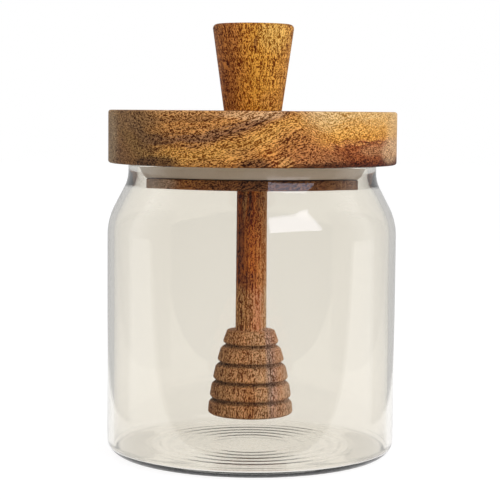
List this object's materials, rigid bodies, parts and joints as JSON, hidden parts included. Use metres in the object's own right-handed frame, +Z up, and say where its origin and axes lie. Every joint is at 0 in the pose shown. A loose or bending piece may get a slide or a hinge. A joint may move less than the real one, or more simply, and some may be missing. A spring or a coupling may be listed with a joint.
{
  "type": "honey pot",
  "caption": "Straight-sided glass honey pot with a drawn-in neck, a sealed turned-wood lid, a tapered knob and a ringed honey dipper fixed under the lid.",
  "frame": {"origin": "centre of the pot's foot, on the surface it stands on", "axes": "+Z up along the pot's axis; the part is a turned form, so X and Y are free"},
  "size_m": [0.0994, 0.0994, 0.1475],
  "materials": {
    "glass": "clear, blown, with a faint warm tint",
    "wood": "oiled acacia, turned and sanded, with strong dark and golden figure",
    "silicone": "translucent light grey silicone, satin"
  },
  "bodies": {
    "root": {"pot": "glass", "lid": "wood", "seal": "silicone", "knob": "wood", "dipper": "wood"}
  },
  "joints": []
}
